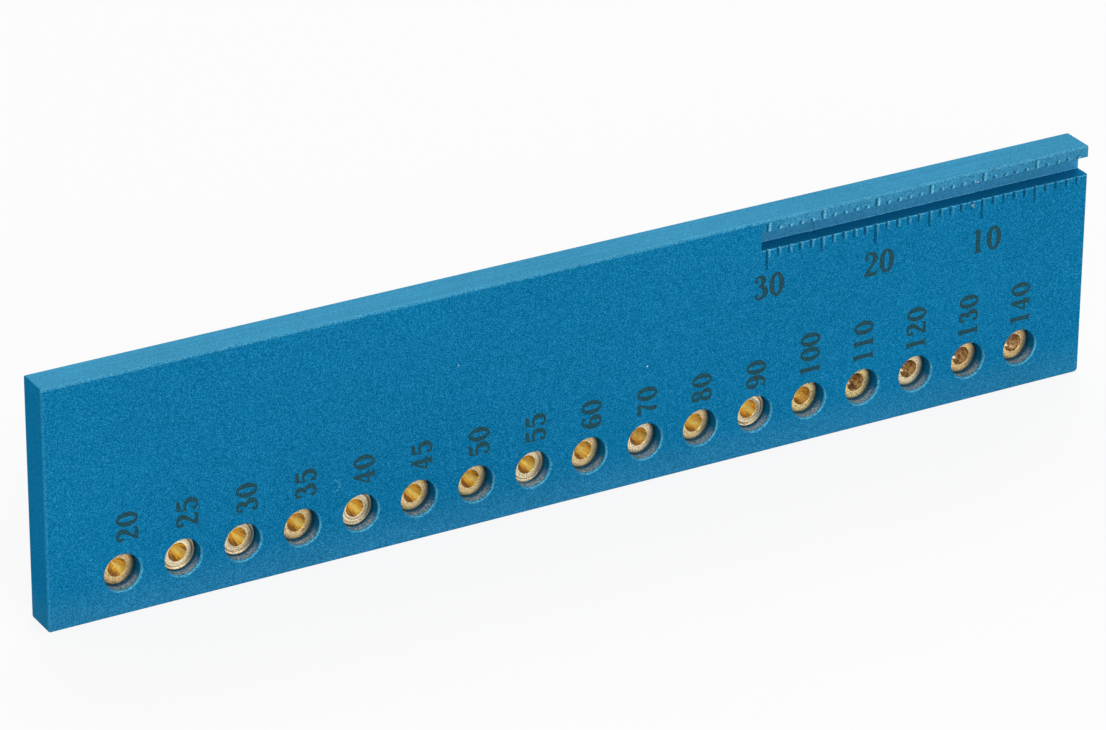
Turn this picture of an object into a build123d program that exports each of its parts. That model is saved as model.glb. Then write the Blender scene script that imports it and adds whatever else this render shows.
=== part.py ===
from build123d import *

import os

# Endodontic file gauge: an anodised aluminium bar that stands on its long edge. Its front face has a row of
# holes, each with a brass gauging bush pressed in from the back, and a length scale cut along a channel.
# Sizes are in millimetres. X runs along the bar, the front faces -Y, Z points up, and the origin is the
# middle of the bottom face.

# Bar
bar_height = 20.0
bar_thickness = 3.0
edge_break = 0.15  # chamfer along every outer edge
left_margin = 6.15  # from the left end of the bar to the axis of the first hole
right_margin = 5.85  # from the axis of the last hole to the right end

# Row of holes, from left to right, one for each file size
file_sizes = [20, 25, 30, 35, 40, 45, 50, 55, 60, 70, 80, 90, 100, 110, 120, 130, 140]
file_size_step = 0.01  # diameter of one unit of file size
hole_pitch = 5.0
hole_axis_height = 3.5
rim_break = 0.15  # chamfer round each hole on the front face

# Bushes
bush_diameter = 3.0
seat_clearance = 0.005  # radial, between a bush and its hole
bush_recess = 1.0  # from the front face down to the face of a bush
ring_width = 0.7  # flat ring round the mouth of the funnel
gauge_land = 0.4  # straight length of the gauging bore, at the back

# Channel, open at the right end of the bar
channel_width = 1.5
channel_depth = 1.4
upper_lip = 1.0  # from the channel up to the top face
lip_break = 0.1  # chamfer along both lips
channel_run_out = 0.6  # past the last line of the scale

# Lines of the scale, numbered from the right end of the bar
line_count = 30
line_spacing = 1.0
line_width = 0.34
line_depth = 0.14
lines_per_half = 5
lines_per_whole = 10
plain_line_below = 0.7  # lengths below the lower lip
half_line_below = 1.25
whole_line_below = 1.7
plain_line_above = 0.3  # lengths above the upper lip
long_line_above = 0.75

# Worked out from the sizes above
hole_count = len(file_sizes)
bar_length = left_margin + hole_pitch * (hole_count - 1) + right_margin
front = -bar_thickness / 2
back = bar_thickness / 2
left_end = -bar_length / 2
right_end = bar_length / 2
bush_radius = bush_diameter / 2
hole_radius = bush_radius + seat_clearance
bush_face = front + bush_recess
mouth_radius = bush_radius - ring_width
channel_top = bar_height - upper_lip
channel_bottom = channel_top - channel_width
scale_length = line_count * line_spacing
cut_past = 1.0  # how far each cut runs on outside the bar


def hole_position(index):
    """Middle of a hole's axis, counted from the left."""
    return Pos(left_end + left_margin + index * hole_pitch, 0, hole_axis_height)


def turned(*section):
    """Solid turned about the Y axis from points of radius and depth."""
    return revolve(make_face(Polyline(*section, close=True)), Axis.Y)


def bar_blank():
    """Plain bar with all its outer edges broken."""
    blank = Box(bar_length, bar_thickness, bar_height, align=(Align.CENTER, Align.CENTER, Align.MIN))
    return chamfer(blank.edges(), edge_break)


def bush_hole():
    """What one hole takes out of the bar: a straight bore that flares at the front face."""
    return turned(
        (0, front - cut_past),
        (hole_radius + rim_break + cut_past, front - cut_past),
        (hole_radius, front + rim_break),
        (hole_radius, back + cut_past),
        (0, back + cut_past),
    )


def length_channel():
    """What the channel takes out of the bar: a square groove whose lips are broken at the front face."""
    flare = lip_break + cut_past
    section = Polyline(
        (front - cut_past, channel_bottom - flare),
        (front + lip_break, channel_bottom),
        (front + channel_depth, channel_bottom),
        (front + channel_depth, channel_top),
        (front + lip_break, channel_top),
        (front - cut_past, channel_top + flare),
        close=True,
    )
    start = right_end - scale_length - channel_run_out
    return extrude(Plane.YZ.offset(start) * make_face(section), scale_length + channel_run_out + cut_past)


def line_reach(number):
    """How far a line runs below the lower lip and above the upper lip."""
    if number % lines_per_whole == 0:
        return whole_line_below, long_line_above
    if number % lines_per_half == 0:
        return half_line_below, long_line_above
    return plain_line_below, plain_line_above


def scale_line(number):
    """What one line takes out of the bar: a V groove that crosses the channel from lip to lip."""
    below, above = line_reach(number)
    middle = right_end - number * line_spacing
    section = Polyline(
        (middle - line_width / 2, front),
        (middle + line_width / 2, front),
        (middle, front + line_depth),
        close=True,
    )
    lower_end = Plane.XY.offset(channel_bottom - below)
    return extrude(lower_end * make_face(section), below + channel_width + above)


def gauge_bar():
    """Bar with its row of holes, its channel and its scale."""
    holes = [hole_position(index) * bush_hole() for index in range(hole_count)]
    lines = [scale_line(number) for number in range(1, line_count + 1)]
    return bar_blank() - holes - length_channel() - lines


def gauge_bush(size):
    """Bush for one file size: a funnel that narrows to the gauging bore, flush with the back of the bar."""
    gauge_radius = size * file_size_step / 2
    return turned(
        (mouth_radius, bush_face),
        (bush_radius, bush_face),
        (bush_radius, back),
        (gauge_radius, back),
        (gauge_radius, back - gauge_land),
    )


os.makedirs("parts", exist_ok=True)
export_step(gauge_bar(), "parts/gauge_bar.step")
for index, size in enumerate(file_sizes):
    export_step(hole_position(index) * gauge_bush(size), f"parts/gauge_bush_{size:03d}.step")
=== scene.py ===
import math

import bmesh
import bpy
from bpy.props import FloatProperty, FloatVectorProperty, IntProperty, PointerProperty
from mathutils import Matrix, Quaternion, Vector
from mathutils.geometry import convex_hull_2d, delaunay_2d_cdt


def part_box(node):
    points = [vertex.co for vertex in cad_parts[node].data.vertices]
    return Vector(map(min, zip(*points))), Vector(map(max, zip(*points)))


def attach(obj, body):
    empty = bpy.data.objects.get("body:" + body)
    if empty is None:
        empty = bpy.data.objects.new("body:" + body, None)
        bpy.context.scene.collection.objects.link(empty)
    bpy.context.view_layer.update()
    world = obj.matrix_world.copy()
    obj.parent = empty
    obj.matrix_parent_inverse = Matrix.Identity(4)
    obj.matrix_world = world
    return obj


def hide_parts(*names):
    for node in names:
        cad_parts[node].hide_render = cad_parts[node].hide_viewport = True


bl_info = {
    "name": "Endodontic file gauge",
    "version": (1, 0, 0),
    "blender": (4, 5, 0),
    "location": "3D View > Sidebar > File gauge",
    "description": "Finishes an endodontic file gauge: blue bar, brass bushes, numbers and a studio",
    "category": "Object",
}

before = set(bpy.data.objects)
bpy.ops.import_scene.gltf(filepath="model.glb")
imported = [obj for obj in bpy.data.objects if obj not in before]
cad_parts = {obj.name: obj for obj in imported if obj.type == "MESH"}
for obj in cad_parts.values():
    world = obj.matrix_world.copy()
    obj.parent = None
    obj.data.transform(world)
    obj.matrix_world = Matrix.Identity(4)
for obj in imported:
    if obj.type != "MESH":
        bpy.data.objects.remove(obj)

MM = 0.001  # one millimetre, in metres
CLEAR = 1.0 * MM  # how far a cutter stands out of what it cuts
BAR_NODE = "gauge_bar"
BUSH_PREFIX = "gauge_bush_"
FILE_SIZE_STEP = 0.01 * MM  # diameter of one unit of file size
SHARP_ANGLE = math.radians(30)
SQUARE = 0.99995  # a face is square to an axis when its unit normal reaches this along the axis
SAME_POINT = 1e-4 * MM  # corners nearer than this are one
LIP_TURNS = [math.pi / 2 * step / 4 for step in range(5)]  # angles round a lip of the channel

BUSH_NODES = sorted(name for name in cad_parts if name.startswith(BUSH_PREFIX))
BAR_LOW, BAR_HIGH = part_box(BAR_NODE)
FIRST_LOW, FIRST_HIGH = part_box(BUSH_NODES[0])
LAST_LOW, LAST_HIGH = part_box(BUSH_NODES[-1])
FRONT = BAR_LOW.y
BACK = BAR_HIGH.y
RIGHT_END = BAR_HIGH.x
BUSH_FACE = FIRST_LOW.y
BUSH_RADIUS = (FIRST_HIGH.x - FIRST_LOW.x) / 2
FIRST_AXIS = (FIRST_LOW + FIRST_HIGH) / 2
HOLE_PITCH = (LAST_LOW.x - FIRST_LOW.x) / (len(BUSH_NODES) - 1)

# Finish of a bush: tone of its ring, strength of the turning lines, share of pits, wear of the outer edge and
# depth of the groove by that edge in millimetres, and how dark and mottled its bore is, with a painted glint
RING_FINISHES = {
    "dull": ("tan", 0.15, 1.0, 0.03, 0.0, 0.0),
    "blasted": ("beige", 0.15, 0.7, 0.03, 0.0, 0.0),
    "pitted": ("beige", 0.1, 1.0, 0.04, 0.0, 0.0),
    "turned": ("cream", 1.0, 0.2, 0.0, 0.13, 0.0),
    "faint": ("cream", 0.6, 0.4, 0.02, 0.04, 0.0),
    "chipped": ("cream", 0.1, 0.5, 0.16, 0.0, 0.2),
    "yellow": ("yellow", 0.0, 1.0, 0.04, 0.0, 0.3),
    "speckled": ("yellow", 0.0, 1.0, 0.05, 0.0, 1.0),
    "pale": ("cream", 0.2, 0.4, 0.06, 0.0, 1.0),
    "tan": ("tan", 0.0, 0.8, 0.03, 0.0, 1.0),
}
BUSH_FINISH = {
    20: "dull", 25: "turned", 30: "turned", 35: "pitted", 40: "turned", 45: "blasted", 50: "blasted",
    55: "faint", 60: "blasted", 70: "chipped", 80: "blasted", 90: "turned", 100: "yellow", 110: "speckled",
    120: "pale", 130: "tan", 140: "tan",
}
LINES_PER_HALF = 5
LINES_PER_WHOLE = 10
LINE_SCATTER = 0.07 * MM  # how unevenly the lines of the scale end
REACHES = ("plain_below", "half_below", "whole_below", "plain_above", "long_above")
CUT_SIZES = {  # settings that the bar's tree takes as they are, with their kinds
    "line_count": "Int", "line_spacing": "Float", "channel_width": "Float", **dict.fromkeys(REACHES, "Float"),
}
FACE_DEPTH = 0.2  # how far behind a face its marks reach, in millimetres

# Lamps: name, azimuth and elevation in degrees, distance, width and height in millimetres, and radiance
LAMPS = [
    ("key_lamp", 40, 50, 700, 600, 450, 1.2),
    ("front_lamp", -22, 30, 800, 420, 360, 7.2),
    ("back_lamp", 150, 40, 800, 700, 450, 2.6),
]

# Strokes of the numerals: x and y of the middle line and half the width, in units of the numeral's height
STROKES = {
    "1": [
        [(0.25, 0.0, 0.17), (0.25, 0.05, 0.14), (0.25, 0.11, 0.09), (0.25, 0.5, 0.085), (0.25, 0.97, 0.085)],
        [(0.33, 0.99, 0.015), (0.2, 0.93, 0.06), (0.06, 0.87, 0.015)],
    ],
    "2": [
        [(0.06, 0.76, 0.03), (0.1, 0.88, 0.045), (0.2, 0.95, 0.045), (0.33, 0.95, 0.055), (0.45, 0.88, 0.085),
         (0.5, 0.74, 0.1), (0.45, 0.59, 0.085), (0.34, 0.42, 0.06), (0.18, 0.22, 0.05), (0.06, 0.07, 0.05)],
        [(0.04, 0.06, 0.055), (0.2, 0.095, 0.08), (0.38, 0.065, 0.065), (0.52, 0.075, 0.06),
         (0.575, 0.14, 0.035), (0.605, 0.25, 0.012)],
    ],
    "3": [
        [(0.07, 0.82, 0.03), (0.16, 0.94, 0.045), (0.29, 0.955, 0.05), (0.41, 0.88, 0.08), (0.44, 0.75, 0.09),
         (0.38, 0.62, 0.065), (0.24, 0.54, 0.03)],
        [(0.24, 0.54, 0.03), (0.4, 0.5, 0.065), (0.51, 0.38, 0.095), (0.52, 0.25, 0.1), (0.44, 0.11, 0.075),
         (0.29, 0.045, 0.045), (0.16, 0.06, 0.04), (0.08, 0.14, 0.03)],
    ],
    "4": [
        [(0.4, 0.0, 0.16), (0.4, 0.05, 0.13), (0.4, 0.11, 0.085), (0.4, 0.5, 0.08), (0.4, 0.93, 0.08),
         (0.42, 1.0, 0.04)],
        [(0.4, 0.96, 0.045), (0.22, 0.65, 0.04), (0.04, 0.32, 0.035)],
        [(0.02, 0.29, 0.045), (0.3, 0.29, 0.045), (0.6, 0.29, 0.045)],
    ],
    "5": [
        [(0.1, 0.91, 0.065), (0.3, 0.9, 0.08), (0.55, 0.94, 0.055)],
        [(0.125, 0.93, 0.03), (0.11, 0.72, 0.03), (0.1, 0.52, 0.03)],
        [(0.1, 0.53, 0.03), (0.22, 0.61, 0.045), (0.36, 0.6, 0.06), (0.49, 0.5, 0.09), (0.53, 0.34, 0.1),
         (0.49, 0.17, 0.085), (0.38, 0.06, 0.055), (0.24, 0.04, 0.04), (0.12, 0.09, 0.035),
         (0.07, 0.15, 0.03)],
    ],
    "6": [
        [(0.13, 0.3, 0.095), (0.12, 0.52, 0.1), (0.18, 0.76, 0.08), (0.31, 0.92, 0.055), (0.45, 0.955, 0.03)],
    ],
    "7": [
        [(0.045, 0.9, 0.06), (0.2, 0.9, 0.08), (0.38, 0.88, 0.07), (0.57, 0.94, 0.05)],
        [(0.045, 0.93, 0.03), (0.04, 0.82, 0.02), (0.035, 0.74, 0.012)],
        [(0.57, 0.93, 0.035), (0.44, 0.66, 0.05), (0.34, 0.42, 0.07), (0.29, 0.2, 0.09), (0.3, 0.07, 0.09)],
    ],
}
DOT_SIDES = 14  # flat sides of a round end
# Round ends: x, y and radius
DOTS = {
    "2": [(0.13, 0.735, 0.085)],
    "3": [(0.125, 0.78, 0.08), (0.13, 0.19, 0.08)],
    "5": [(0.13, 0.19, 0.08)],
    "6": [(0.5, 0.86, 0.07)],
    "7": [(0.3, 0.07, 0.085)],
}
# Ovals: middle x and y, radii of the middle line, half the stroke's width at the sides and at the top
OVALS = {
    "0": [(0.33, 0.5, 0.225, 0.45, 0.095, 0.05)],
    "6": [(0.33, 0.31, 0.2, 0.265, 0.095, 0.045)],
    "8": [(0.31, 0.76, 0.17, 0.2, 0.075, 0.04), (0.32, 0.28, 0.205, 0.24, 0.09, 0.045)],
}
NUMERAL_CELL = 0.7  # from one numeral to the next, in units of the height
NARROW_CELL = 0.655  # the same after a 1
NUMERAL_WIDTH = 0.66  # of a 6, which turned about gives the 9
# Numbers of the length scale: text, left side and foot in millimetres. They step down to the right.
SCALE_PLACES = [("30", 14.77, 13.36), ("20", 24.95, 13.1), ("10", 35.16, 12.86)]

# Specks on the front face: X, Z and radius in millimetres, and colour
SPECKS = [
    (35.0, 17.1, 0.13, (0.4, 0.4, 0.33)),
    (35.4, 19.05, 0.1, (0.45, 0.45, 0.6)),
    (-11.4, 13.96, 0.05, (0.75, 0.8, 0.8)),
    (5.25, 9.96, 0.05, (0.75, 0.8, 0.8)),
]
# Curved hair mark on the front face: X, Z and radius, and how wide it is, in millimetres
HAIR_MARK = (-22.1, 6.3, 0.5)
HAIR_WIDTH = 0.08
# Place of the painted glint in a wide funnel: angles round the axis, and depths behind the ring in
# millimetres
GLINT_ANGLES = (math.radians(-104), math.radians(-72))
GLINT_DEPTHS = (0.95, 1.5)
FOOT_LIGHT = 3.5  # how far up the bar light from the floor reaches, in millimetres


def distance(millimetres, description):
    """Property that holds a length."""
    return FloatProperty(description=description, default=millimetres * MM, unit="LENGTH", precision=6)


def view_angle(degrees, description):
    """Property that holds an angle."""
    return FloatProperty(description=description, default=math.radians(degrees), subtype="ANGLE")


def colour(value, description):
    """Property that holds a linear colour."""
    return FloatVectorProperty(description=description, default=value, size=3, min=0, max=1, subtype="COLOR")


def amount(value, description):
    """Property that holds a plain number."""
    return FloatProperty(description=description, default=value, min=0)


def whole_number(value, least, description):
    """Property that holds a whole number."""
    return IntProperty(description=description, default=value, min=least)


class BarSettings(bpy.types.PropertyGroup):
    """Sizes and colours of the anodised bar."""

    edge_radius: distance(0.15, "Rounding of every outer edge")
    corner_radius: distance(0.32, "Rounding of the lower right corner of the bar")
    rim_radius: distance(0.12, "Rounding round each hole on the front face")
    back_rim_radius: distance(0.04, "Rounding round each hole on the back")
    seat_clearance: distance(0.005, "Radial gap between a bush and its hole")
    facets: whole_number(96, 12, "Flat sides of each hole")
    channel_width: distance(1.5, "Height of the channel's mouth")
    channel_depth: distance(1.4, "From the front face to the back wall of the channel")
    upper_lip: distance(1.0, "From the channel up to the top face")
    lip_radius: distance(0.09, "Rounding of both lips of the channel")
    run_out: distance(0.6, "How far the channel goes on past the last line")
    plunge_length: distance(5.2, "Stretch at the closed end that was cut a little deeper")
    plunge_depth: distance(0.05, "How much deeper that stretch is")
    notch_length: distance(0.42, "Tool mark where the deeper stretch ends")
    notch_depth: distance(0.08, "How far the tool mark goes into the lower wall")
    line_count: whole_number(30, 1, "Lines of the length scale")
    line_spacing: distance(1.0, "From one line to the next")
    line_width: distance(0.34, "Width of a line at the front face")
    line_depth: distance(0.14, "Depth of a line")
    plain_below: distance(0.7, "Reach of a plain line below the channel")
    half_below: distance(1.25, "Reach of every fifth line below the channel")
    whole_below: distance(1.7, "Reach of every tenth line below the channel")
    plain_above: distance(0.3, "Reach of a plain line above the channel")
    long_above: distance(0.75, "Reach of every fifth line above the channel")
    # Width of the painted highlight on the lower right of each hole's rim, broken up like wear
    rim_wear: distance(0.15, "Width of the light, worn band round each hole")
    blue: colour((0.002, 0.143, 0.302), "Colour of the anodised surface")
    # Light blue of the painted highlights on hole rims, burrs, lips, edges and the channel's inner corner,
    # broken up like wear; also the hair mark's colour
    worn: colour((0.12, 0.45, 0.62), "Colour where edges and burrs are worn light")
    # Lighter blue: painted sheen on the top face, painted light on the channel's back wall and the foot, and
    # the upper land over the scale
    milled: colour((0.052, 0.24, 0.39), "Colour of the top face and of the channel's back wall")
    # The grain's sparkle is painted glints
    sparkle: amount(0.3, "How strongly the blasted grain sparkles")
    # Grey of scrape marks and of painted reflection on the lower side of each hole's wall
    scraped: colour((0.5, 0.52, 0.5), "Colour where the bushes scraped the holes")
    roughness: amount(0.45, "Roughness of the blasted surface")
    metallic: amount(0.25, "How much the surface reflects as a metal")


class BushSettings(bpy.types.PropertyGroup):
    """Sizes and colours of the brass gauging bushes."""

    ring_width: distance(0.74, "Flat ring round the mouth of the funnel")
    land_length: distance(0.4, "Straight length of the gauging bore")
    edge_break: distance(0.36, "Width of the rounding along the outer edge of the ring")
    edge_fall: distance(0.32, "How far that rounding falls back at the wall of the hole")
    back_break: distance(0.035, "Break along the outer edge at the back")
    mouth_break: distance(0.02, "Break along the mouth of the funnel")
    facets: whole_number(96, 12, "Flat sides of each bush")
    # Also the colour of the painted glint in the widest funnels
    cream: colour((1.0, 0.78, 0.5), "Lightest ring")
    beige: colour((0.92, 0.66, 0.33), "Blasted ring")
    yellow: colour((0.95, 0.7, 0.32), "Yellow ring")
    tan: colour((0.9, 0.6, 0.28), "Tan ring")
    # Also painted shade in the groove by the outer edge
    pit: colour((0.13, 0.09, 0.05), "Dark pits")
    # Painted shade and the blue wall's painted reflection by the outer edge and on the ring's far side
    dirt: colour((0.05, 0.08, 0.07), "Dirt and blue light along the outer edge")
    # Gold, bright and brown streaks in the funnel are painted reflections and highlights
    gold: colour((1.0, 0.64, 0.1), "Gold streaks in the funnel")
    bright: colour((1.0, 0.88, 0.32), "Brightest streaks in the funnel")
    brown: colour((0.33, 0.165, 0.06), "Dark streaks in the funnel")
    # Darker brown that the widest funnels are mixed towards
    dull: colour((0.45, 0.29, 0.13), "Tarnish in the widest funnels")
    metallic: amount(0.6, "How much the brass reflects as a metal")


class PrintSettings(bpy.types.PropertyGroup):
    """Sizes and colour of the marked numbers."""

    size_height: distance(1.8, "Height of the file sizes")
    scale_height: distance(2.05, "Height of the numbers of the length scale")
    size_base: distance(6.02, "From the foot of the bar up to the start of the first file size")
    size_shift: distance(1.34, "From the axis of the first hole to the right, to the foot of its number")
    size_lag: distance(0.035, "How much less each next size is shifted to the right")
    size_drop: distance(0.03, "How much lower each next size starts")
    long_rise: distance(0.12, "How much higher a size of three numerals starts")
    thickness: distance(0.008, "How far the marks stand out of the front face")
    weight: amount(1.2, "How thick the strokes are, against the drawn ones")
    ink: colour((0.017, 0.054, 0.06), "Dark grey of the marks")


class StageSettings(bpy.types.PropertyGroup):
    """Camera, lamps and floor."""

    azimuth: view_angle(-29.936, "Turn of the view")
    elevation: view_angle(25.849, "Height of the view")
    roll: view_angle(0.464, "Tilt of the view")
    camera_distance: distance(438.79, "From the camera to the point it looks at")
    aim: FloatVectorProperty(
        description="Point the camera looks at", default=(-2.297 * MM, 0, 11.219 * MM),
        subtype="TRANSLATION", unit="LENGTH", precision=6,
    )
    lens: amount(186.0, "Focal length in millimetres")
    floor_size: distance(6000, "Side of the floor")
    floor_white: colour((0.93, 0.93, 0.93), "Colour of the floor")
    floor_glow: amount(0.88, "Share of plain white in the floor that the camera sees")
    glow_white: colour((0.965, 0.965, 0.965), "That plain white")
    sky_light: amount(0.55, "Strength of the even light from all round")


def arithmetic(operation, swapped=False):
    """Operator of a value that adds the Math node for it."""
    def method(self, other):
        return self.graph.maths(operation, *((other, self) if swapped else (self, other)))
    return method


class Value:
    """What a socket gives. Arithmetic on it adds the Math nodes that work it out."""

    __add__ = arithmetic("ADD")
    __radd__ = arithmetic("ADD", swapped=True)
    __sub__ = arithmetic("SUBTRACT")
    __rsub__ = arithmetic("SUBTRACT", swapped=True)
    __mul__ = arithmetic("MULTIPLY")
    __truediv__ = arithmetic("DIVIDE")
    __mod__ = arithmetic("FLOORED_MODULO")
    __pow__ = arithmetic("POWER")
    __lt__ = arithmetic("LESS_THAN")
    __gt__ = arithmetic("GREATER_THAN")

    def __init__(self, graph, socket):
        self.graph = graph
        self.socket = socket

    def outlet(self, name):
        """Another output of the same node."""
        return Value(self.graph, self.socket.node.outputs[name])

    def ramp(self, low, high):
        """Goes smoothly from 0 to 1 between two ends, of which the second may be the lower one."""
        return self.graph.node(
            "ShaderNodeMapRange",
            {"Value": self, "From Min": low, "From Max": high, "To Min": 0.0, "To Max": 1.0},
            interpolation_type="SMOOTHSTEP", clamp=True,
        )

    def band(self, low, high, soft):
        """1 from low to high and 0 outside, with soft sides."""
        return self.ramp(low - soft, low + soft) * (self * -1).ramp(-high - soft, -high + soft)


def input_socket(node, key):
    """The input socket in use that has this number or name."""
    if isinstance(key, int):
        return node.inputs[key]
    return next(socket for socket in node.inputs if socket.enabled and socket.name == key)


class Graph:
    """Node tree that grows by one node a call."""

    def __init__(self, tree):
        self.tree = tree
        tree.nodes.clear()

    def node(self, kind, sockets=None, outlet=None, **settings):
        """Adds a node, sets its settings, fills or links its sockets and returns one of its outputs."""
        made = self.tree.nodes.new(kind)
        for name, value in settings.items():
            setattr(made, name, value)
        for key, value in (sockets or {}).items():
            self.fill(input_socket(made, key), value)
        if outlet is None:
            outlets = [socket for socket in made.outputs if socket.enabled]
            return Value(self, outlets[0]) if outlets else None
        return Value(self, made.outputs[outlet])

    def fill(self, socket, value):
        """Gives a socket a value, a link or, as a list, several links."""
        if isinstance(value, list):
            for each in value:
                self.fill(socket, each)
        elif isinstance(value, Value):
            self.tree.links.new(value.socket, socket)
        elif socket.type == "RGBA":
            socket.default_value = (*value, 1.0)[:4]
        else:
            socket.default_value = value

    def maths(self, operation, *values):
        """Result of a Math node."""
        return self.node("ShaderNodeMath", dict(enumerate(values)), operation=operation)

    def spot(self, x, z, middle_x, middle_z, radius, ragged):
        """1 inside a small round spot with a ragged edge."""
        across = x - middle_x
        up = z - middle_z
        away = self.maths("SQRT", across * across + up * up) + ragged * radius
        return away.ramp(radius + 0.02, radius - 0.02)

    def mix(self, factor, first, second):
        """Colour between two colours."""
        return self.node("ShaderNodeMix", {"Factor": factor, "A": first, "B": second}, data_type="RGBA")

    def scaled(self, vector, factor):
        """Vector or colour times a number."""
        return self.node("ShaderNodeVectorMath", {0: vector, "Scale": factor}, operation="SCALE")

    def vector(self, x, y, z):
        """Vector of three parts."""
        return self.node("ShaderNodeCombineXYZ", {"X": x, "Y": y, "Z": z})

    def noise(self, place, size, detail=2.0, roughness=0.5):
        """Even noise about zero, whose patches are about this size."""
        sockets = {"Vector": place, "Scale": 1 / size, "Detail": detail, "Roughness": roughness}
        return self.node("ShaderNodeTexNoise", sockets, "Fac") - 0.5


def new_material(name):
    """Empty node material and its graph."""
    made = bpy.data.materials.new(name)
    made.use_nodes = True
    return made, Graph(made.node_tree)


def surface_place(graph):
    """Place on the surface, in millimetres."""
    return graph.scaled(graph.node("ShaderNodeTexCoord", outlet="Object"), 1 / MM)


def end_material(graph, height, depth, sockets):
    """Ends a material in its shader, with fine relief of this depth in millimetres."""
    relief = graph.node("ShaderNodeBump", {"Height": height, "Distance": depth * MM})
    shader = graph.node("ShaderNodeBsdfPrincipled", {"Normal": relief, **sockets})
    graph.node("ShaderNodeOutputMaterial", {"Surface": shader})


def split(graph, vector):
    """The three parts of a vector."""
    parts = graph.node("ShaderNodeSeparateXYZ", {0: vector})
    return parts, parts.outlet("Y"), parts.outlet("Z")


def hole_place(graph, x, z):
    """Place seen from the nearest hole's axis, in millimetres: across, up, and the distance from it."""
    pitch = HOLE_PITCH / MM
    across = (x - (FIRST_AXIS.x / MM - pitch / 2)) % pitch - pitch / 2
    up = z - FIRST_AXIS.z / MM
    return across, up, graph.maths("SQRT", across * across + up * up)


def line_reach(number, plain_below, half_below, whole_below, plain_above, long_above):
    """How far a line of the scale runs below and above the channel, from its number as a node's value."""
    half = number % LINES_PER_HALF < 0.5
    whole = number % LINES_PER_WHOLE < 0.5
    below = plain_below + half * (half_below - plain_below) + whole * (whole_below - half_below)
    return below, plain_above + half * (long_above - plain_above)


def scale_wear(graph, look, x, z):
    """Marks by the scale: painted shade on one side of each line, painted highlights on its burr, on both
    lips and in the inner corner, the upper land, and the scale's whole length.
    """
    along = (RIGHT_END - x * MM) / look.line_spacing
    number = graph.maths("ROUND", along)
    beside = (number - along) * (look.line_spacing / MM)
    below, above = line_reach(number, *(getattr(look, reach) / MM for reach in REACHES))
    top = (BAR_HIGH.z - look.upper_lip) / MM
    bottom = top - look.channel_width / MM
    last = look.line_count
    counted = (number > 0.5) * (number < last + 0.5)
    lower = (z > bottom - below) * (z < bottom + 0.02)
    upper = (z > top - 0.02) * (z < top + above)
    on_line = counted * (lower + upper)
    half = look.line_width / 2 / MM
    # Painted shade on one side of each line, and a painted highlight on the real burr beside it
    shaded_side = beside.band(-half - 0.02, 0.07, 0.07)
    burr = beside.band(0.09, half + 0.07, 0.05)
    # Painted highlights along both lips of the channel
    lower_lip = z.band(bottom - 0.09, bottom + 0.02, 0.03)
    upper_lip = z.band(top - 0.02, top + 0.06, 0.02)
    in_scale = along.ramp(last + 0.7, last + 0.5)
    fading = z.ramp(bottom - look.half_below / MM, bottom) * (0.2 + along.ramp(8, 22) * 0.45)
    light = on_line * burr * (fading + upper * 0.8) + (lower_lip + upper_lip * 0.5) * in_scale * 0.6
    land = z.ramp(top - 0.1, top + 0.1) * along.ramp(last + 1.5, last - 2.5)
    # Painted highlight along the inner corner of the channel
    corner = z.band(bottom - 0.02, bottom + 0.05, 0.03) * in_scale
    return on_line * shaded_side, light, land, corner, in_scale


def hole_wear(graph, look, place, x, y, z):
    """Marks of the holes: scrape marks and painted reflection on the lower side of the wall, a painted
    highlight on the rim's lower right, and painted shade inside, darkest by the ring.
    """
    across, up, radius = hole_place(graph, x, z)
    wall = (BUSH_RADIUS + look.seat_clearance) / MM
    front, ring = FRONT / MM, BUSH_FACE / MM
    in_row = x.band(FIRST_AXIS.x / MM - wall - 1, LAST_HIGH.x / MM + 1, 0.01)
    near_hole = in_row * (up < wall + 1)
    in_hole = near_hole * (radius < wall + 0.02) * (y > front + FACE_DEPTH)
    # Painted shadow on the hole's wall by the ring
    by_ring = in_hole * y.ramp(ring - 0.35, ring - 0.05) * 0.8
    low_wall = (across * 0.1 - up).ramp(0.5, 1.3)
    rough = graph.noise(place, 0.13, 3.0, 0.7).ramp(-0.06, 0.12)
    # Scrape marks and painted reflection: grey speckles on the lower side of each hole's wall, fewer by the
    # ring
    scrapes_and_reflection = (in_hole - by_ring) * low_wall * (0.16 + rough * 0.8)
    # Painted highlight on the lower right of each hole's rim
    low_right = (across * 0.7 - up).ramp(-0.6, 1.6)
    reach = look.rim_wear / MM
    rim = near_hole * radius.ramp(wall + reach + 0.05, wall + 0.05) * (y < front + reach + 0.04)
    return scrapes_and_reflection, rim * low_right, in_hole * 0.1 + by_ring * 0.35


def speckled(graph, base, x, z, on_face, ragged, worn):
    """Colour with the specks and the hair mark of the front face on it."""
    for speck_x, speck_z, size, speck in SPECKS:
        spot = graph.spot(x, z, speck_x, speck_z, size, ragged)
        base = graph.mix(spot * on_face * 0.8, base, speck)
    hair_x, hair_z, bend = HAIR_MARK
    outer, inner = (graph.spot(x, z, hair_x, hair_z, size, ragged) for size in (bend, bend - HAIR_WIDTH))
    return graph.mix((outer - inner) * on_face * (x > hair_x - 0.1) * 0.3, base, worn)


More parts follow.
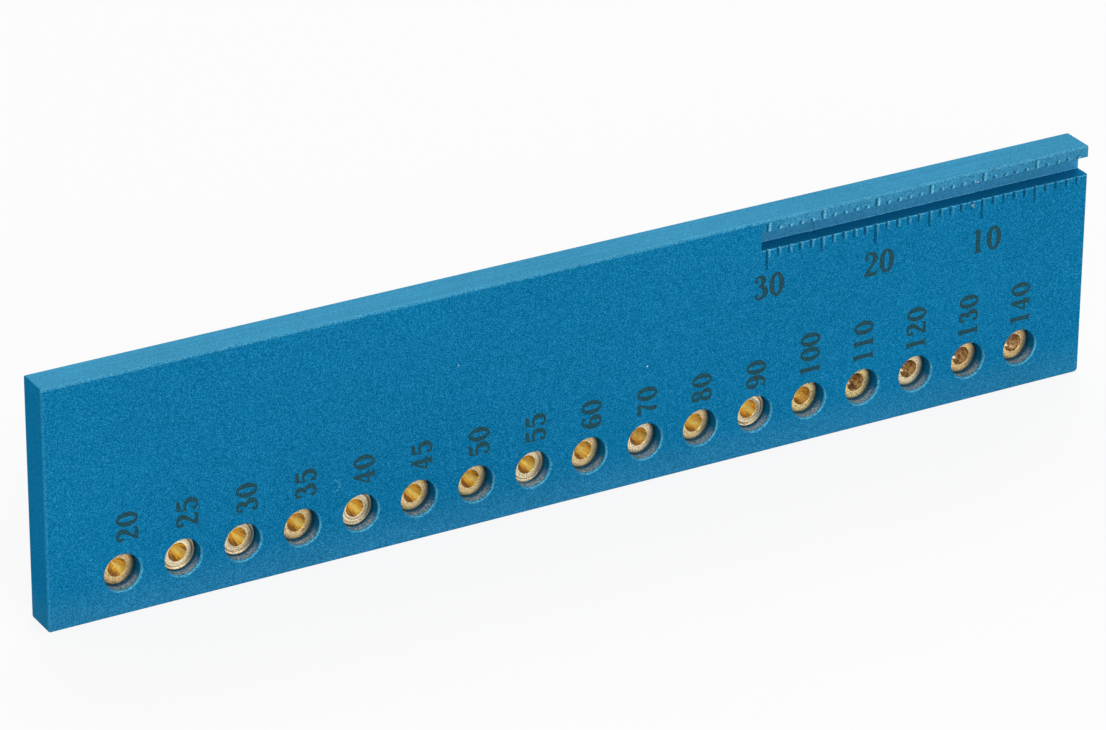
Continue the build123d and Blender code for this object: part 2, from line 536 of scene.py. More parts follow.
def anodised_aluminium():
    """Blasted aluminium, anodised blue: fine grain with painted glints, painted highlights on edges, burrs
    and rims, painted light and shade, and scraped hole walls with painted reflection.
    """
    look = bpy.context.scene.gauge_bar
    made, graph = new_material("anodised_aluminium")
    place = surface_place(graph)
    x, y, z = split(graph, place)
    normal = split(graph, graph.node("ShaderNodeNewGeometry", outlet="Normal"))
    low, high, front = BAR_LOW / MM, BAR_HIGH / MM, FRONT / MM
    back_wall = front + look.channel_depth / MM
    on_top = normal[2].ramp(0.8, 0.95) * (z > high.z - 0.3)
    on_front = (normal[1] * -1).ramp(0.6, 0.8)
    on_face = on_front * (y < front + FACE_DEPTH)
    at_back = on_front * (y > back_wall - FACE_DEPTH)

    fine = graph.noise(place, 0.07, 1.0)
    grain = graph.noise(place, 0.17, 2.0, 0.6)
    cloud = graph.noise(place, 1.6, 2.0)
    drift = graph.noise(place, 16.0, 1.0)
    streaks = graph.noise(graph.vector(x * 0.04, y * 3.0, 0.0), 1.0, 3.0)
    patchy = (grain + fine * 0.5).ramp(-0.2, 0.1)
    shaded_side, light, land, corner, in_scale = scale_wear(graph, look, x, z)
    scrapes_and_reflection, rim, hole_shade = hole_wear(graph, look, place, x, y, z)

    # Painted light from the floor, lighter towards the foot. With the painted sheen on the top face, painted
    # light on the channel's back wall and the upper land, it goes towards the lighter blue
    foot = z.ramp(low.z + FOOT_LIGHT, low.z) * 0.25
    milled = on_top * 0.95 + at_back * 0.6 + land * on_front * 0.6 + foot
    blasted = 1 - at_back * 0.3 - on_top * 0.2
    # Painted glints in the blasted grain
    sparkle = (fine + grain * 0.1).ramp(0.0, 0.2) * look.sparkle * blasted
    clean = graph.mix(milled + sparkle, look.blue, look.milled)
    scraped = graph.mix(scrapes_and_reflection, clean, look.scraped)
    edge = look.edge_radius / MM
    top_edge = z.band(high.z - edge - 0.02, high.z, 0.04) * (y < front + edge + 0.02)
    left_edge = x.ramp(low.x + edge + 0.07, low.x + edge - 0.03) * (y < front + edge + 0.07)
    # Painted highlights, broken up like wear: lower right of the hole rims, burrs and lips of the scale, top
    # and left edges, and the channel's inner corner
    worn = rim * 0.65 + light * on_face + top_edge * 0.35 + left_edge * 0.1 + corner * at_back * 0.8
    marked = graph.mix(worn * (0.2 + patchy * 0.8), scraped, look.worn)
    marked = speckled(graph, marked, x, z, on_face, grain, look.worn)

    # Painted shade inside the channel, fading out near the right end
    walls = in_scale * (1 - on_front) * (z > high.z - 3.0) * (z < high.z - 0.5)
    in_groove = (y > front + FACE_DEPTH) * (y < back_wall + FACE_DEPTH)
    in_channel = walls * in_groove * x.ramp(high.x + 1, high.x - 6)
    tone = 1 + (fine * 1.8 + grain * 0.15) * blasted + cloud * 0.12 + drift * 0.2 + streaks * on_top * 0.4
    # Painted shade: darker inside the holes, most by the rings, on one side of each line and inside the
    # channel; the channel's back wall is painted brighter as light
    shade = (1 - hole_shade) * (1 - shaded_side * on_face * 0.45) * (1 - in_channel * 0.1)
    base = graph.scaled(marked, tone * shade * (1 + at_back * 0.4))

    end_material(graph, fine + grain * 0.6, 0.01, {
        "Base Color": base,
        "Metallic": look.metallic,
        "Roughness": look.roughness + grain * 0.2,
        "Specular IOR Level": 0.0,
        "Specular Tint": (0.0, 0.5, 0.7, 1.0),
    })
    return made


def ring_colour(graph, look, seen, turning, lines, grain, pits):
    """Colour of a ring: its tone with turning lines and pits, painted shade in the groove, and painted shade
    with the blue wall's painted reflection by the outer edge and on the far side.
    """
    across, up, radius = seen
    rounded = (BUSH_RADIUS - look.edge_break) / MM
    tone = graph.node("ShaderNodeAttribute", outlet="Color", attribute_name="ring_tone")
    ring = graph.scaled(tone, 1 + lines * 2.4 + grain * 2.8)
    # Painted shade in the groove by the outer edge
    groove = radius.band(rounded + 0.07, rounded + 0.13, 0.03) * turning
    ring = graph.mix(pits * 0.75 + groove * 0.6, ring, look.pit)
    outer = radius.ramp(rounded, BUSH_RADIUS / MM)
    # Painted shade on the upper part of the outer edge and on the far side, towards a dark blue that also
    # stands for the wall's reflection
    edge = outer * up.ramp(-1.4, -0.4) * (0.35 - turning * 0.25)
    far_side = (across - up * 0.3).ramp(0.45, 1.45)
    return graph.mix(graph.maths("MAXIMUM", edge, far_side * 0.85), ring, look.dirt)


def bore_colour(graph, look, place, x, y, seen, glint, grain):
    """Colour of a funnel: gold and brown streaks that run inwards and a diagonal highlight, all painted
    reflection, and in wide ones a darker brown with a painted glint.
    """
    across, up, _ = seen
    angle = graph.maths("ARCTAN2", up, across)
    # Painted reflections of the turned funnel: streaks that fan inwards
    fan = graph.noise(graph.vector(angle * 2.2, y * 0.06, x * 0.2), 0.3, 2.0, 0.6)
    wedges = graph.noise(graph.vector(angle * 0.7, y * 0.06, x * 0.2 + 4), 0.3, 1.0)
    mottled = graph.noise(place, 0.3, 2.0, 0.6)
    # Painted highlight along the diagonal, painted light from the left, and the deep part painted brighter in
    # narrow funnels and darker in wide ones
    lit = (graph.maths("COSINE", angle * 2 + math.pi / 2) * 0.5 + 0.5) ** 2
    lit_from_left = graph.maths("COSINE", angle - math.radians(10))
    deep = y - BUSH_FACE / MM
    inner = deep.ramp(0.1, 1.1)
    streaks = (
        fan * 2.4 + wedges * 2.2 + grain * 1.3 + lit_from_left * 0.3 + lit * (1.0 - glint * 0.6)
        + inner * (0.7 - glint * 1.2) - glint * 0.1 - 0.2
    )
    bore = graph.mix(streaks.ramp(-0.15, 0.6), look.brown, look.gold)
    bore = graph.mix(streaks.ramp(0.6, 1.2), bore, look.bright)
    # Widest funnels: darker brown, tan patches that follow the painted highlight and the mouth, and stronger
    # mottling
    bore = graph.mix(glint * 0.4, bore, look.dull)
    patches = (mottled * 3 + lit - inner * 1.2).ramp(-0.2, 0.7)
    bore = graph.mix(glint * patches * 0.7, bore, look.tan)
    bore = graph.scaled(bore, 1 + mottled * (0.5 + glint * 2.5))
    at_glint = angle.band(*GLINT_ANGLES, 0.06) * deep.band(*GLINT_DEPTHS, 0.08)
    return graph.mix(glint * at_glint, bore, look.cream)


def bush_brass():
    """Turned brass: a light ring with turning lines, pits and painted shade, and a funnel streaked gold and
    brown as painted reflection.
    """
    look = bpy.context.scene.gauge_bush
    made, graph = new_material("bush_brass")
    place = surface_place(graph)
    x, y, z = split(graph, place)
    seen = hole_place(graph, x, z)
    radius = seen[2]
    marks = graph.node("ShaderNodeAttribute", outlet="Vector", attribute_name="ring_marks")
    turning, pitting, glint = split(graph, marks)

    turned = graph.noise(graph.vector(radius, 0.0, x * 0.02), 0.09, 1.0)
    lines = turned * turning
    grain = graph.noise(place, 0.1, 2.0, 0.6)
    pits = graph.noise(place, 0.16, 2.0, 0.6).ramp(-0.06, -0.16) * pitting
    ring = ring_colour(graph, look, seen, turning, lines, grain, pits)
    bore = bore_colour(graph, look, place, x, y, seen, glint, grain)
    plain = graph.scaled(look.yellow[:], 1 + turned * 1.2 + grain * 1.2)

    normal_y = split(graph, graph.node("ShaderNodeNewGeometry", outlet="Normal"))[1]
    on_face = (normal_y * -1).ramp(0.1, 0.3)
    mouth = (BUSH_RADIUS - look.ring_width) / MM
    in_bore = (radius < mouth + 0.01) * (y > BUSH_FACE / MM + 0.01)
    base = graph.mix(in_bore, graph.mix(on_face, plain, ring), bore)
    end_material(graph, grain + lines * 2 - pits * 2, 0.008, {
        "Base Color": base,
        "Metallic": look.metallic,
        "Roughness": 0.5 - in_bore * 0.2 + grain * 0.15,
        "Specular IOR Level": 0.2,
    })
    return made


def marking():
    """Dark mark burnt into the anodised surface, which shows through as grain."""
    look = bpy.context.scene.gauge_print
    made, graph = new_material("marking")
    place = surface_place(graph)
    grain = graph.noise(place, 0.1, 2.0, 0.6)
    specks = grain.ramp(0.0, 0.16)
    base = graph.scaled(look.ink[:], 1 + grain * 2.4)
    through = graph.mix(specks * 0.5, base, bpy.context.scene.gauge_bar.blue)
    end_material(graph, grain, 0.01, {
        "Base Color": through, "Metallic": 0.0, "Roughness": 0.7, "Specular IOR Level": 0.0,
    })
    return made


def link_mesh(name, mesh):
    """Object at the origin that holds a mesh."""
    made = bpy.data.objects.new(name, mesh)
    bpy.context.scene.collection.objects.link(made)
    return made


def from_bmesh(name, work):
    """Object made from a finished bmesh."""
    mesh = bpy.data.meshes.new(name)
    work.to_mesh(mesh)
    work.free()
    return link_mesh(name, mesh)


def loft(name, loops):
    """Closed solid through rows of points that have as many points each."""
    work = bmesh.new()
    rows = [[work.verts.new(point) for point in loop] for loop in loops]
    for near, far in zip(rows, rows[1:]):
        for index in range(len(near)):
            work.faces.new((near[index - 1], near[index], far[index], far[index - 1]))
    work.faces.new(rows[0])
    work.faces.new(rows[-1])
    bmesh.ops.remove_doubles(work, verts=work.verts[:], dist=SAME_POINT)
    bmesh.ops.dissolve_degenerate(work, edges=work.edges[:], dist=SAME_POINT)
    bmesh.ops.recalc_face_normals(work, faces=work.faces[:])
    return from_bmesh(name, work)


def quarter(centre, start, radius, steps):
    """Points on a quarter of a circle, from an angle in degrees on towards greater angles."""
    for step in range(steps + 1):
        angle = math.radians(start + 90 * step / steps)
        yield centre[0] + radius * math.cos(angle), centre[1] + radius * math.sin(angle)


def geometry_tree(name, inputs):
    """Empty geometry tree with named inputs: its graph and what each input gives."""
    tree = bpy.data.node_groups.new(name, "GeometryNodeTree")
    tree.interface.new_socket("Geometry", in_out="OUTPUT", socket_type="NodeSocketGeometry")
    for title, kind in inputs.items():
        tree.interface.new_socket(title, in_out="INPUT", socket_type="NodeSocket" + kind)
    graph = Graph(tree)
    given = graph.node("NodeGroupInput")
    return graph, {title: given.outlet(title) for title in inputs}


def end_tree(graph, geometry, material):
    """Ends a geometry tree: real geometry with its material."""
    real = graph.node("GeometryNodeRealizeInstances", {"Geometry": geometry})
    dressed = graph.node("GeometryNodeSetMaterial", {"Geometry": real, "Material": material})
    graph.node("NodeGroupOutput", {"Geometry": dressed})
    return graph.tree


def grow(piece, tree, values):
    """Runs a geometry tree on a piece and keeps the result as its plain mesh."""
    modifier = piece.modifiers.new(tree.name, "NODES")
    modifier.node_group = tree
    for item in tree.interface.items_tree:
        if item.name in values:
            modifier[item.identifier] = values[item.name]
    depsgraph = bpy.context.evaluated_depsgraph_get()
    plain = bpy.data.meshes.new_from_object(
        piece.evaluated_get(depsgraph), preserve_all_data_layers=True, depsgraph=depsgraph
    )
    piece.modifiers.clear()
    piece.data = plain
    plain.name = piece.name
    if not plain.polygons:
        raise RuntimeError(f"{tree.name} made no mesh for {piece.name}")
    return piece


def smoothed(graph, mesh, flat_faces):
    """Smooth round faces, and flat ones where a face looks along an axis or meets a sharp edge."""
    angle = graph.node("GeometryNodeInputMeshEdgeAngle", outlet="Unsigned Angle")
    sharp = {0: mesh, "Selection": angle > SHARP_ANGLE, "Shade Smooth": False}
    smooth = graph.node("GeometryNodeSetShadeSmooth", sharp, domain="EDGE")
    if not flat_faces:
        return smooth
    normal = graph.node("GeometryNodeInputNormal")
    along = graph.node("ShaderNodeVectorMath", {0: normal}, operation="ABSOLUTE")
    x, y, z = split(graph, along)
    largest = graph.maths("MAXIMUM", graph.maths("MAXIMUM", x, y), z)
    flat = {0: smooth, "Selection": largest > SQUARE, "Shade Smooth": False}
    return graph.node("GeometryNodeSetShadeSmooth", flat, domain="FACE")


def lathe_tree():
    """Turns a profile about an axis: X is a point's radius, Y its depth and Z how much wear moves it."""
    graph, given = geometry_tree("Lathe", {
        "Profile": "Object", "Facets": "Int", "Axis": "Vector", "Wear": "Float", "Seed": "Float",
        "ring_tone": "Color", "ring_marks": "Vector", "Material": "Material",
    })
    profile = graph.node("GeometryNodeObjectInfo", {"Object": given["Profile"]}, "Geometry")
    count = graph.node("GeometryNodeAttributeDomainSize", {0: profile}, "Point Count")
    grid = graph.node(
        "GeometryNodeMeshGrid",
        {"Vertices X": given["Facets"] + 1, "Vertices Y": count, "Size X": 1.0, "Size Y": 1.0}, "Mesh",
    )
    index = graph.node("GeometryNodeInputIndex")
    point = graph.node(
        "GeometryNodeSampleIndex",
        {0: profile, "Value": graph.node("GeometryNodeInputPosition"), "Index": index % count},
        data_type="FLOAT_VECTOR", domain="POINT",
    )
    radius, depth, worn = split(graph, point)
    turn = graph.maths("FLOOR", index / count) + 0.5
    angle = turn * (2 * math.pi) / given["Facets"]
    across = radius * graph.maths("COSINE", angle)
    up = radius * graph.maths("SINE", angle)
    wear_place = graph.vector(across / MM, up / MM, given["Seed"])
    bite = graph.noise(wear_place, 0.35, 3.0, 0.6).ramp(0.02, 0.25) * given["Wear"] * worn
    place = graph.node(
        "ShaderNodeVectorMath", {0: given["Axis"], 1: graph.vector(across, depth + bite, up)},
        operation="ADD",
    )
    turned = graph.node("GeometryNodeSetPosition", {"Geometry": grid, "Position": place})
    outward = graph.node("GeometryNodeFlipFaces", {0: turned})
    closed = graph.node("GeometryNodeMergeByDistance", {"Geometry": outward, "Distance": SAME_POINT})
    marked = closed
    for name, kind in (("ring_tone", "FLOAT_COLOR"), ("ring_marks", "FLOAT_VECTOR")):
        marked = graph.node(
            "GeometryNodeStoreNamedAttribute", {"Geometry": marked, "Name": name, "Value": given[name]},
            data_type=kind, domain="POINT",
        )
    return end_tree(graph, smoothed(graph, marked, False), given["Material"])


def bar_tree():
    """Cuts the holes, the channel and the lines of the scale out of the blank."""
    graph, given = geometry_tree("Gauge bar", {
        "Blank": "Geometry", "Hole cutter": "Object", "Channel cutter": "Object", "Line cutter": "Object",
        "Hole count": "Int", "Hole pitch": "Float", "First hole": "Vector",
        "Right end": "Float", "Channel bottom": "Float", **CUT_SIZES, "Material": "Material",
    })

    def cutter(title):
        return graph.node("GeometryNodeObjectInfo", {"Object": given[title]}, "Geometry")

    def repeated(points, title, scale):
        copies = graph.node(
            "GeometryNodeInstanceOnPoints",
            {"Points": points, "Instance": cutter(title), "Scale": scale},
        )
        return graph.node("GeometryNodeRealizeInstances", {"Geometry": copies})

    row = graph.node(
        "GeometryNodeMeshLine",
        {"Count": given["Hole count"], "Start Location": given["First hole"],
         "Offset": graph.vector(given["Hole pitch"], 0.0, 0.0)},
    )
    number = graph.node("GeometryNodeInputIndex") + 1
    below, above = line_reach(number, *(given[reach] for reach in REACHES))
    uneven = graph.node(
        "FunctionNodeRandomValue", {"Min": -LINE_SCATTER, "Max": LINE_SCATTER, "Seed": 7}, data_type="FLOAT"
    )
    reach = below + given["channel_width"] + above
    spacing = given["line_spacing"]
    scale = graph.node(
        "GeometryNodeMeshLine",
        {"Count": given["line_count"], "Offset": graph.vector(spacing * -1, 0.0, 0.0),
         "Start Location": graph.vector(given["Right end"] - spacing, 0.0, given["Channel bottom"])},
    )
    lowered = graph.node(
        "GeometryNodeSetPosition",
        {"Geometry": scale, "Offset": graph.vector(uneven * 0.5, 0.0, below * -1 + uneven)},
    )
    whole = number % LINES_PER_WHOLE < 0.5
    wide = 1 + whole * 0.3 + uneven / MM
    cut = graph.node(
        "GeometryNodeMeshBoolean",
        {"Mesh 1": given["Blank"], "Mesh 2": [
            repeated(row, "Hole cutter", (1, 1, 1)),
            cutter("Channel cutter"),
            repeated(lowered, "Line cutter", graph.vector(wide, 1.0, reach)),
        ]},
        "Mesh", operation="DIFFERENCE", solver="EXACT",
    )
    plain = graph.node("GeometryNodeTriangulate", {0: cut})
    return end_tree(graph, smoothed(graph, plain, True), given["Material"])


def profile_object(name, points):
    """Row of points for the lathe."""
    mesh = bpy.data.meshes.new(name)
    mesh.from_pydata(points, [(index, index + 1) for index in range(len(points) - 1)], [])
    return link_mesh(name, mesh)


def hole_profile(look):
    """What one hole takes out of the bar, with both rims rounded."""
    radius = BUSH_RADIUS + look.seat_clearance
    rim = look.rim_radius
    back_rim = look.back_rim_radius
    front_arc = list(quarter((radius + rim, FRONT + rim), 180, rim, 6))[::-1]
    back_arc = list(quarter((radius + back_rim, BACK - back_rim), 90, back_rim, 3))[::-1]
    points = [(0, FRONT - CLEAR), (radius + rim, FRONT - CLEAR), *front_arc, *back_arc,
              (radius + back_rim, BACK + CLEAR), (0, BACK + CLEAR)]
    return [(x, y, 0) for x, y in points]


def channel_cutter(look):
    """What the channel takes out: a square groove with rounded lips, deeper at its closed end."""
    lip = look.lip_radius
    top = BAR_HIGH.z - look.upper_lip
    bottom = top - look.channel_width
    start = RIGHT_END - look.line_count * look.line_spacing - look.run_out
    step = start + look.plunge_length

    def section(x, deeper, lower):
        wall = FRONT + look.channel_depth + deeper
        corner = wall - look.notch_length
        lower_lip = [(FRONT + lip - lip * math.cos(a), bottom - lip + lip * math.sin(a)) for a in LIP_TURNS]
        upper_lip = [(FRONT + lip - lip * math.sin(a), top + lip - lip * math.cos(a)) for a in LIP_TURNS]
        outline = [
            (FRONT - CLEAR, bottom - lip), *lower_lip,
            (corner, bottom), (corner, bottom - lower), (wall, bottom - lower), (wall, top),
            *upper_lip, (FRONT - CLEAR, top + lip),
        ]
        return [(x, y, z) for y, z in outline]

    return loft("channel_cutter", [
        section(start, look.plunge_depth, 0),
        section(step, look.plunge_depth, 0),
        section(step, look.plunge_depth, look.notch_depth),
        section(step + look.notch_length, look.plunge_depth, look.notch_depth),
        section(step + look.notch_length, 0, 0),
        section(RIGHT_END + CLEAR, 0, 0),
    ])


def line_cutter(look):
    """V-shaped cutter for one line, one metre tall so that its scale is its length, shallow at both ends."""
    stand = 0.3 * MM
    slope = look.line_width / 2 / look.line_depth

    def section(z, depth):
        half = slope * (depth + stand)
        return [(-half, FRONT - stand, z), (half, FRONT - stand, z), (0, FRONT + depth, z)]

    shallow = look.line_depth * 0.3
    return loft("line_cutter", [
        section(0, shallow), section(0.07, look.line_depth),
        section(0.93, look.line_depth), section(1, shallow),
    ])


def bar_blank(look):
    """Plain bar with rounded edges and a rounder lower right corner."""
    work = bmesh.new()
    bmesh.ops.create_cube(work, size=1)
    centre = (BAR_LOW + BAR_HIGH) / 2
    for vert in work.verts:
        vert.co = centre + vert.co * (BAR_HIGH - BAR_LOW)
    corner = [
        edge for edge in work.edges
        if all(vert.co.x > centre.x and vert.co.z < centre.z for vert in edge.verts)
    ]
    bmesh.ops.bevel(
        work, geom=corner, offset=look.corner_radius, segments=8, profile=0.5, affect="EDGES"
    )
    edges = [edge for edge in work.edges if edge.calc_face_angle() > SHARP_ANGLE]
    bmesh.ops.bevel(work, geom=edges, offset=look.edge_radius, segments=5, profile=0.5, affect="EDGES")
    return from_bmesh("gauge_bar_finished", work)


class FILEGAUGE_OT_make_bar(bpy.types.Operator):
    """Mill the bar: holes, channel and length scale, anodised blue"""

    bl_idname = "file_gauge.make_bar"
    bl_label = "Make the bar"

    def execute(self, context):
        look = context.scene.gauge_bar
        cutters = {
            "Hole cutter": grow(profile_object("hole_cutter", []), lathe_tree(), {
                "Profile": profile_object("hole_profile", hole_profile(look)), "Facets": look.facets,
                "Axis": (0.0, 0.0, 0.0),
            }),
            "Channel cutter": channel_cutter(look),
            "Line cutter": line_cutter(look),
        }
        bar = grow(bar_blank(look), bar_tree(), {
            **cutters,
            "Hole count": len(BUSH_NODES), "Hole pitch": HOLE_PITCH,
            "First hole": (FIRST_AXIS.x, 0.0, FIRST_AXIS.z),
            "Right end": RIGHT_END, "Channel bottom": BAR_HIGH.z - look.upper_lip - look.channel_width,
            **{size: getattr(look, size) for size in CUT_SIZES},
            "Material": anodised_aluminium(),
        })
        for scrap in [*cutters.values(), bpy.data.objects["hole_profile"]]:
            bpy.data.objects.remove(scrap)
        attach(bar, "root")
        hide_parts(BAR_NODE)
        return {"FINISHED"}


def bush_profile(look, gauge_radius, groove):
    """Section of a bush, from the mouth of the funnel round to the gauging bore and back."""
    mouth = BUSH_RADIUS - look.ring_width
    flat_end = BUSH_RADIUS - look.edge_break
    ring = [
        (mouth + look.mouth_break, 0, 0), (mouth + look.mouth_break * 3, 0, 0),
        (flat_end - 0.02 * MM, 0, 0.2),
    ]
    if groove:
        edge = [
            (0.02, 0, 0.2), (0.27, groove, 0), (0.55, groove * 0.1, 0.3),
            (0.72, 0, 0.5), (1, groove * 1.4, 0.6),
        ]
    else:
        turns = [math.pi / 2 * step / 6 for step in range(7)]
        edge = [(math.sin(a), look.edge_fall * (1 - math.cos(a)), 0.3 + math.sin(a) * 0.7) for a in turns]
    outer = [(flat_end + look.edge_break * share, depth, worn) for share, depth, worn in edge]
    face = [(radius, BUSH_FACE + depth, worn) for radius, depth, worn in (*ring, *outer)]
    points = [
        (mouth, BUSH_FACE + look.mouth_break, 0),
        *face,
        (BUSH_RADIUS, BACK - look.back_break, 0),
        (BUSH_RADIUS - look.back_break, BACK, 0),
        (gauge_radius, BACK, 0),
        (gauge_radius, BACK - look.land_length, 0),
    ]
    return [*points, points[0]]


class FILEGAUGE_OT_make_bushes(bpy.types.Operator):
    """Turn one brass bush for each file size and seat it in its hole"""

    bl_idname = "file_gauge.make_bushes"
    bl_label = "Make the bushes"

    def execute(self, context):
        look = context.scene.gauge_bush
        tree = lathe_tree()
        brass = bush_brass()
        for node in BUSH_NODES:
            size = int(node.removeprefix(BUSH_PREFIX))
            tone, turning, pitting, wear, groove, glint = RING_FINISHES[BUSH_FINISH[size]]
            low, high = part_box(node)
            points = bush_profile(look, size * FILE_SIZE_STEP / 2, groove * MM)
            profile = profile_object("bush_profile", points)
            bush = grow(profile_object(node + "_finished", []), tree, {
                "Profile": profile, "Facets": look.facets,
                "Axis": ((low.x + high.x) / 2, 0.0, (low.z + high.z) / 2),
                "Wear": wear * MM, "Seed": float(size), "ring_tone": (*getattr(look, tone), 1.0),
                "ring_marks": (turning, pitting, glint), "Material": brass,
            })
            bpy.data.objects.remove(profile)
            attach(bush, "root")
            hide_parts(node)
        return {"FINISHED"}


def smooth_path(points, between=6):
    """Points of a smooth curve that passes through every given point, however unevenly they lie."""
    points = [Vector(point) for point in points]
    ends = [points[0], *points, points[-1]]
    path = []
    for before, start, end, after in zip(ends, ends[1:], ends[2:], ends[3:]):
        span = (end - start).length
        leave = (end - before) * span / (span + (start - before).length)
        arrive = (after - start) * span / (span + (after - end).length)
        for step in range(between):
            t = step / between
            path.append(
                start * (2 * t ** 3 - 3 * t ** 2 + 1) + leave * (t ** 3 - 2 * t ** 2 + t)
                + end * (3 * t ** 2 - 2 * t ** 3) + arrive * (t ** 3 - t ** 2)
            )
    return [*path, points[-1]]


def ribbon(path, weight):
    """Four-sided patches along a path of x, y and half width, made thicker by the weight."""
    sides = []
    for before, here, after in zip([path[0], *path], path, [*path[1:], path[-1]]):
        along = Vector((after[0] - before[0], after[1] - before[1])).normalized()
        across = Vector((-along.y, along.x)) * here[2] * weight
        middle = Vector(here[:2])
        sides.append((middle - across, middle + across))
    corners = [[*a, *b] for a, b in zip(sides, sides[1:])]
    return [[patch[index] for index in convex_hull_2d(patch)] for patch in corners]


def oval_path(x, y, width, height, side, cap, count=36):
    """Closed path round an oval whose stroke is thick at the sides and thin at the top."""
    turns = [2 * math.pi * step / count for step in range(count)]
    path = [
        (x + width * math.cos(t), y + height * math.sin(t), cap + (side - cap) * math.cos(t) ** 2)
        for t in turns
    ]
    return [*path, path[0], path[1]]


def numeral(sign, weight):
    """Patches of one numeral, a unit high."""
    if sign == "9":
        return [[Vector((NUMERAL_WIDTH - p.x, 1 - p.y)) for p in patch] for patch in numeral("6", weight)]
    patches = [patch for stroke in STROKES.get(sign, []) for patch in ribbon(smooth_path(stroke), weight)]
    for oval in OVALS.get(sign, []):
        patches += ribbon(oval_path(*oval), weight)
    for x, y, radius in DOTS.get(sign, []):
        turns = [2 * math.pi * step / DOT_SIDES for step in range(DOT_SIDES)]
        patches.append([Vector((x + radius * math.cos(t), y + radius * math.sin(t))) for t in turns])
    return patches


def number_patches(text, height, weight):
    """Patches of a whole number, from the foot of its first numeral."""
    patches = []
    start = 0
    for sign in text:
        for patch in numeral(sign, weight):
            patches.append([Vector((point.x + start, point.y)) * height for point in patch])
        start += NARROW_CELL if sign == "1" else NUMERAL_CELL
    return patches


def add_marks(work, patches, to_bar, thickness):
    """Merges overlapping patches into one flat shape and gives it a thickness on the front face."""
    corners = []
    faces = []
    for patch in patches:
        faces.append(list(range(len(corners), len(corners) + len(patch))))
        corners += patch
    points, _, cells, _, _, origins = delaunay_2d_cdt(corners, [], faces, 0, SAME_POINT)
    verts = [work.verts.new(to_bar(point)) for point in points]
    flat = [
        work.faces.new([verts[index] for index in cell]) for cell, origin in zip(cells, origins) if origin
    ]
    bmesh.ops.recalc_face_normals(work, faces=flat)
    raised = bmesh.ops.extrude_face_region(work, geom=flat)
    moved = [item for item in raised["geom"] if isinstance(item, bmesh.types.BMVert)]
    bmesh.ops.translate(work, verts=moved, vec=(0, -2 * thickness, 0))


def marks_object(name, material, numbers, height, look):
    """Piece that holds several numbers: each has its text and the move from its own plane to the bar."""
    work = bmesh.new()
    for text, to_bar in numbers:
        add_marks(work, number_patches(text, height, look.weight), to_bar, look.thickness)
    loose = [vert for vert in work.verts if not vert.link_faces]
    bmesh.ops.delete(work, geom=loose, context="VERTS")
    bmesh.ops.recalc_face_normals(work, faces=work.faces[:])
    made = from_bmesh(name, work)
    made.data.materials.append(material)
    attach(made, "root")
    return made


class FILEGAUGE_OT_mark_numbers(bpy.types.Operator):
    """Mark the file sizes above the holes and the lengths below the scale"""

    bl_idname = "file_gauge.mark_numbers"
    bl_label = "Mark the numbers"

    def execute(self, context):
        look = context.scene.gauge_print
        ink = marking()
        depth = FRONT + look.thickness
        sizes = []
        for index, node in enumerate(BUSH_NODES):
            text = str(int(node.removeprefix(BUSH_PREFIX)))
            low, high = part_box(node)
            foot = (low.x + high.x) / 2 + look.size_shift - index * look.size_lag
            start = look.size_base - index * look.size_drop + (len(text) > 2) * look.long_rise
            sizes.append((text, lambda p, foot=foot, start=start: (foot - p.y, depth, start + p.x)))
        marks_object("size_numbers", ink, sizes, look.size_height, look)

        lengths = []
        for text, left, foot in SCALE_PLACES:
            lengths.append(
                (text, lambda p, left=left, foot=foot: (left * MM + p.x, depth, foot * MM + p.y))
            )
        marks_object("scale_numbers", ink, lengths, look.scale_height, look)
        return {"FINISHED"}


def floor_material(look):
    """Pale floor that the camera and reflections see nearly white, with the shadow kept."""
    made, graph = new_material("pale_floor")
    rays = graph.node("ShaderNodeLightPath", outlet="Is Camera Ray")
    seen = graph.maths("MAXIMUM", rays, rays.outlet("Is Glossy Ray"))
    seen = graph.maths("MAXIMUM", seen, rays.outlet("Is Transmission Ray"))
    white = graph.node("ShaderNodeEmission", {"Color": look.glow_white, "Strength": 1.0})
    lit = graph.node("ShaderNodeBsdfDiffuse", {"Color": look.floor_white})
    shader = graph.node("ShaderNodeMixShader", {0: seen * look.floor_glow, 1: lit, 2: white})
    graph.node("ShaderNodeOutputMaterial", {"Surface": shader})
    return made


def softbox(name, azimuth, elevation, distance_mm, width_mm, height_mm, radiance):
    """Soft lamp that looks at the gauge from a direction in degrees, as bright as its radiance says."""
    lamp = bpy.data.lights.new(name, "AREA")
    lamp.shape = "RECTANGLE"
    lamp.size = width_mm * MM
    lamp.size_y = height_mm * MM
    lamp.energy = radiance * math.pi * lamp.size * lamp.size_y
    made = bpy.data.objects.new(name, lamp)
    bpy.context.scene.collection.objects.link(made)
    a, e = math.radians(azimuth), math.radians(elevation)
    direction = Vector((math.sin(a) * math.cos(e), -math.cos(a) * math.cos(e), math.sin(e)))
    made.location = direction * distance_mm * MM
    made.rotation_mode = "QUATERNION"
    made.rotation_quaternion = direction.to_track_quat("Z", "Y")


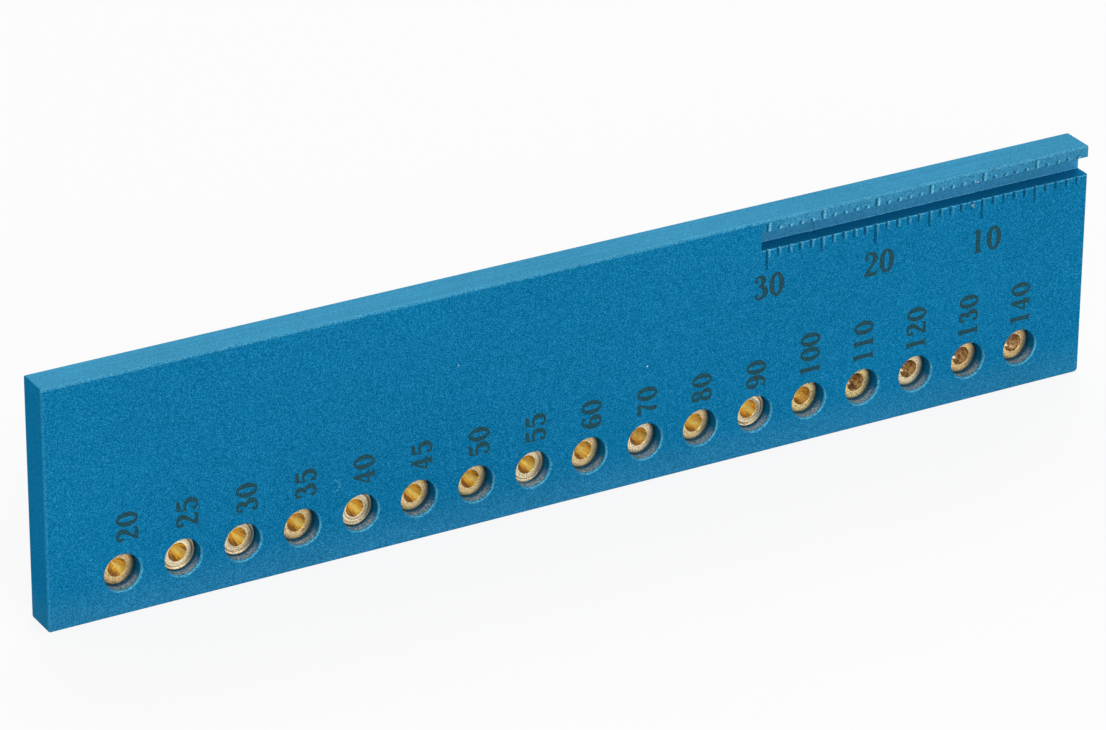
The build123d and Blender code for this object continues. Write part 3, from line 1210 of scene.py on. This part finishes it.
class FILEGAUGE_OT_set_stage(bpy.types.Operator):
    """Set up the pale floor, the soft lamps and the camera"""

    bl_idname = "file_gauge.set_stage"
    bl_label = "Set the stage"

    def execute(self, context):
        look = context.scene.gauge_stage
        half = look.floor_size / 2
        mesh = bpy.data.meshes.new("floor")
        corners = [(-half, -half, 0), (half, -half, 0), (half, half, 0), (-half, half, 0)]
        mesh.from_pydata(corners, [], [(0, 1, 2, 3)])
        floor = link_mesh("floor", mesh)
        mesh.materials.append(floor_material(look))

        world = bpy.data.worlds.new("even_light")
        context.scene.world = world
        world.use_nodes = True
        graph = Graph(world.node_tree)
        sky = graph.node("ShaderNodeBackground", {"Color": (1, 1, 1, 1), "Strength": look.sky_light})
        graph.node("ShaderNodeOutputWorld", {"Surface": sky})
        for lamp in LAMPS:
            softbox(*lamp)

        back = Vector((
            math.sin(look.azimuth) * math.cos(look.elevation),
            -math.cos(look.azimuth) * math.cos(look.elevation),
            math.sin(look.elevation),
        ))
        lens = bpy.data.cameras.new("camera")
        lens.sensor_width = 36.0
        lens.lens = look.lens
        lens.clip_start = 0.01
        lens.clip_end = 20.0
        camera = bpy.data.objects.new("camera", lens)
        context.scene.collection.objects.link(camera)
        camera.location = Vector(look.aim) + back * look.camera_distance
        camera.rotation_mode = "QUATERNION"
        upright = (-back).to_track_quat("-Z", "Y")
        camera.rotation_quaternion = upright @ Quaternion((0, 0, 1), look.roll)
        context.scene.camera = camera
        context.scene.view_settings.view_transform = "Standard"
        return {"FINISHED"}


OPERATORS = (
    FILEGAUGE_OT_make_bar, FILEGAUGE_OT_make_bushes, FILEGAUGE_OT_mark_numbers, FILEGAUGE_OT_set_stage,
)
SETTINGS = {
    "gauge_bar": BarSettings, "gauge_bush": BushSettings, "gauge_print": PrintSettings,
    "gauge_stage": StageSettings,
}


class VIEW3D_PT_file_gauge(bpy.types.Panel):
    """Steps that build the gauge, and the sizes and colours that they use"""

    bl_label = "File gauge"
    bl_space_type = "VIEW_3D"
    bl_region_type = "UI"
    bl_category = "File gauge"

    def draw(self, context):
        for operator in OPERATORS:
            self.layout.operator(operator.bl_idname)
        for name, group in SETTINGS.items():
            box = self.layout.box()
            box.label(text=group.__doc__)
            for title in group.__annotations__:
                label = title.replace("_", " ").capitalize()
                box.prop(getattr(context.scene, name), title, text=label)


def register():
    for kind in (*SETTINGS.values(), *OPERATORS, VIEW3D_PT_file_gauge):
        bpy.utils.register_class(kind)
    for name, group in SETTINGS.items():
        setattr(bpy.types.Scene, name, PointerProperty(type=group))


def unregister():
    for name in SETTINGS:
        delattr(bpy.types.Scene, name)
    for kind in reversed((*SETTINGS.values(), *OPERATORS, VIEW3D_PT_file_gauge)):
        bpy.utils.unregister_class(kind)


def main():
    """Builds the gauge and its stage."""
    register()
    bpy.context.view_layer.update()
    bpy.ops.file_gauge.make_bar()
    bpy.ops.file_gauge.make_bushes()
    bpy.ops.file_gauge.mark_numbers()
    bpy.ops.file_gauge.set_stage()


if __name__ == "__main__":
    main()
